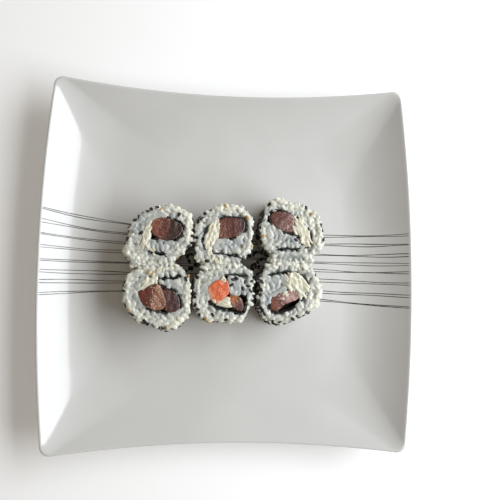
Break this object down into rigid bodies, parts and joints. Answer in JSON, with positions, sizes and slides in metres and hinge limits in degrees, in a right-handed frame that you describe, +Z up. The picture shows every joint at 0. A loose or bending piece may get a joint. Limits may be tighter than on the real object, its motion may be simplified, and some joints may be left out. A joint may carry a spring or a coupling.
{
  "type": "uramaki rolls on a plate",
  "caption": "Uramaki roll pieces standing cut face up on a square white porcelain plate: rice spirals outside nori, round raw fish and cream cheese.",
  "frame": {"origin": "under the middle of the plate, at the bottom of its foot ring", "axes": "+X to the right between the plate's bowed sides, +Y to the back between its hollowed sides, +Z up; the rolls stand along Z"},
  "size_m": [0.25, 0.2456, 0.0362],
  "materials": {
    "porcelain": "gloss",
    "sushi_rice": "moist satin",
    "nori": "damp satin",
    "tuna": "wet",
    "salmon": "wet",
    "cheese": "creamy satin"
  },
  "bodies": {
    "root": {"plate": "porcelain", "back_left_rice": "sushi_rice", "back_left_nori": "nori", "back_left_tuna": "tuna", "back_left_cheese": "cheese", "back_middle_rice": "sushi_rice", "back_middle_nori": "nori", "back_middle_tuna": "tuna", "back_middle_cheese": "cheese", "back_right_rice": "sushi_rice", "back_right_nori": "nori", "back_right_tuna": "tuna", "back_right_cheese": "cheese", "front_left_rice": "sushi_rice", "front_left_nori": "nori", "front_left_tuna_left": "tuna", "front_left_tuna_right": "tuna", "front_left_cheese": "cheese", "front_middle_rice": "sushi_rice", "front_middle_nori": "nori", "front_middle_salmon_left": "salmon", "front_middle_salmon_right": "salmon", "front_middle_cheese": "cheese", "front_right_rice": "sushi_rice", "front_right_nori": "nori", "front_right_tuna": "tuna", "front_right_cheese": "cheese"}
  },
  "joints": []
}
